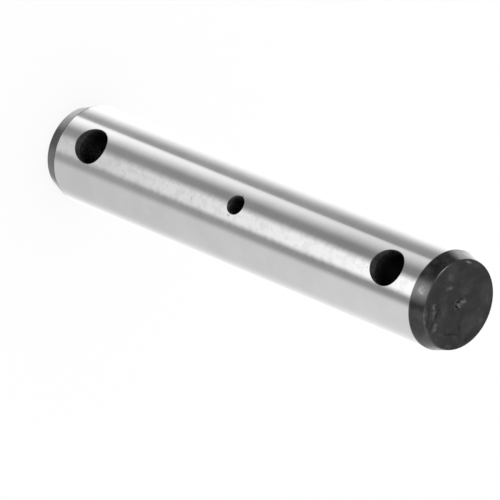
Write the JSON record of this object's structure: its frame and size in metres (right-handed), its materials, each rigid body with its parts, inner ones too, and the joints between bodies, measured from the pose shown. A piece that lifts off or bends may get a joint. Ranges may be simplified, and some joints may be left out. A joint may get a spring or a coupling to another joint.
{
  "type": "leaf spring pin",
  "caption": "Straight round steel pin for a leaf spring, with a ground shank, black tapered ends, a large countersunk cross hole near each end and a small one at mid length.",
  "frame": {"origin": "centre of the lower end face, on which the pin stands", "axes": "+Z along the pin's axis; the three cross holes run along Y, square to it"},
  "size_m": [0.03, 0.03, 0.166],
  "materials": {
    "ground_steel": "ground bright on the shank, black heat-treated skin on the tapers, end faces and hole walls"
  },
  "bodies": {
    "root": {"spring_pin": "ground_steel"}
  },
  "joints": []
}
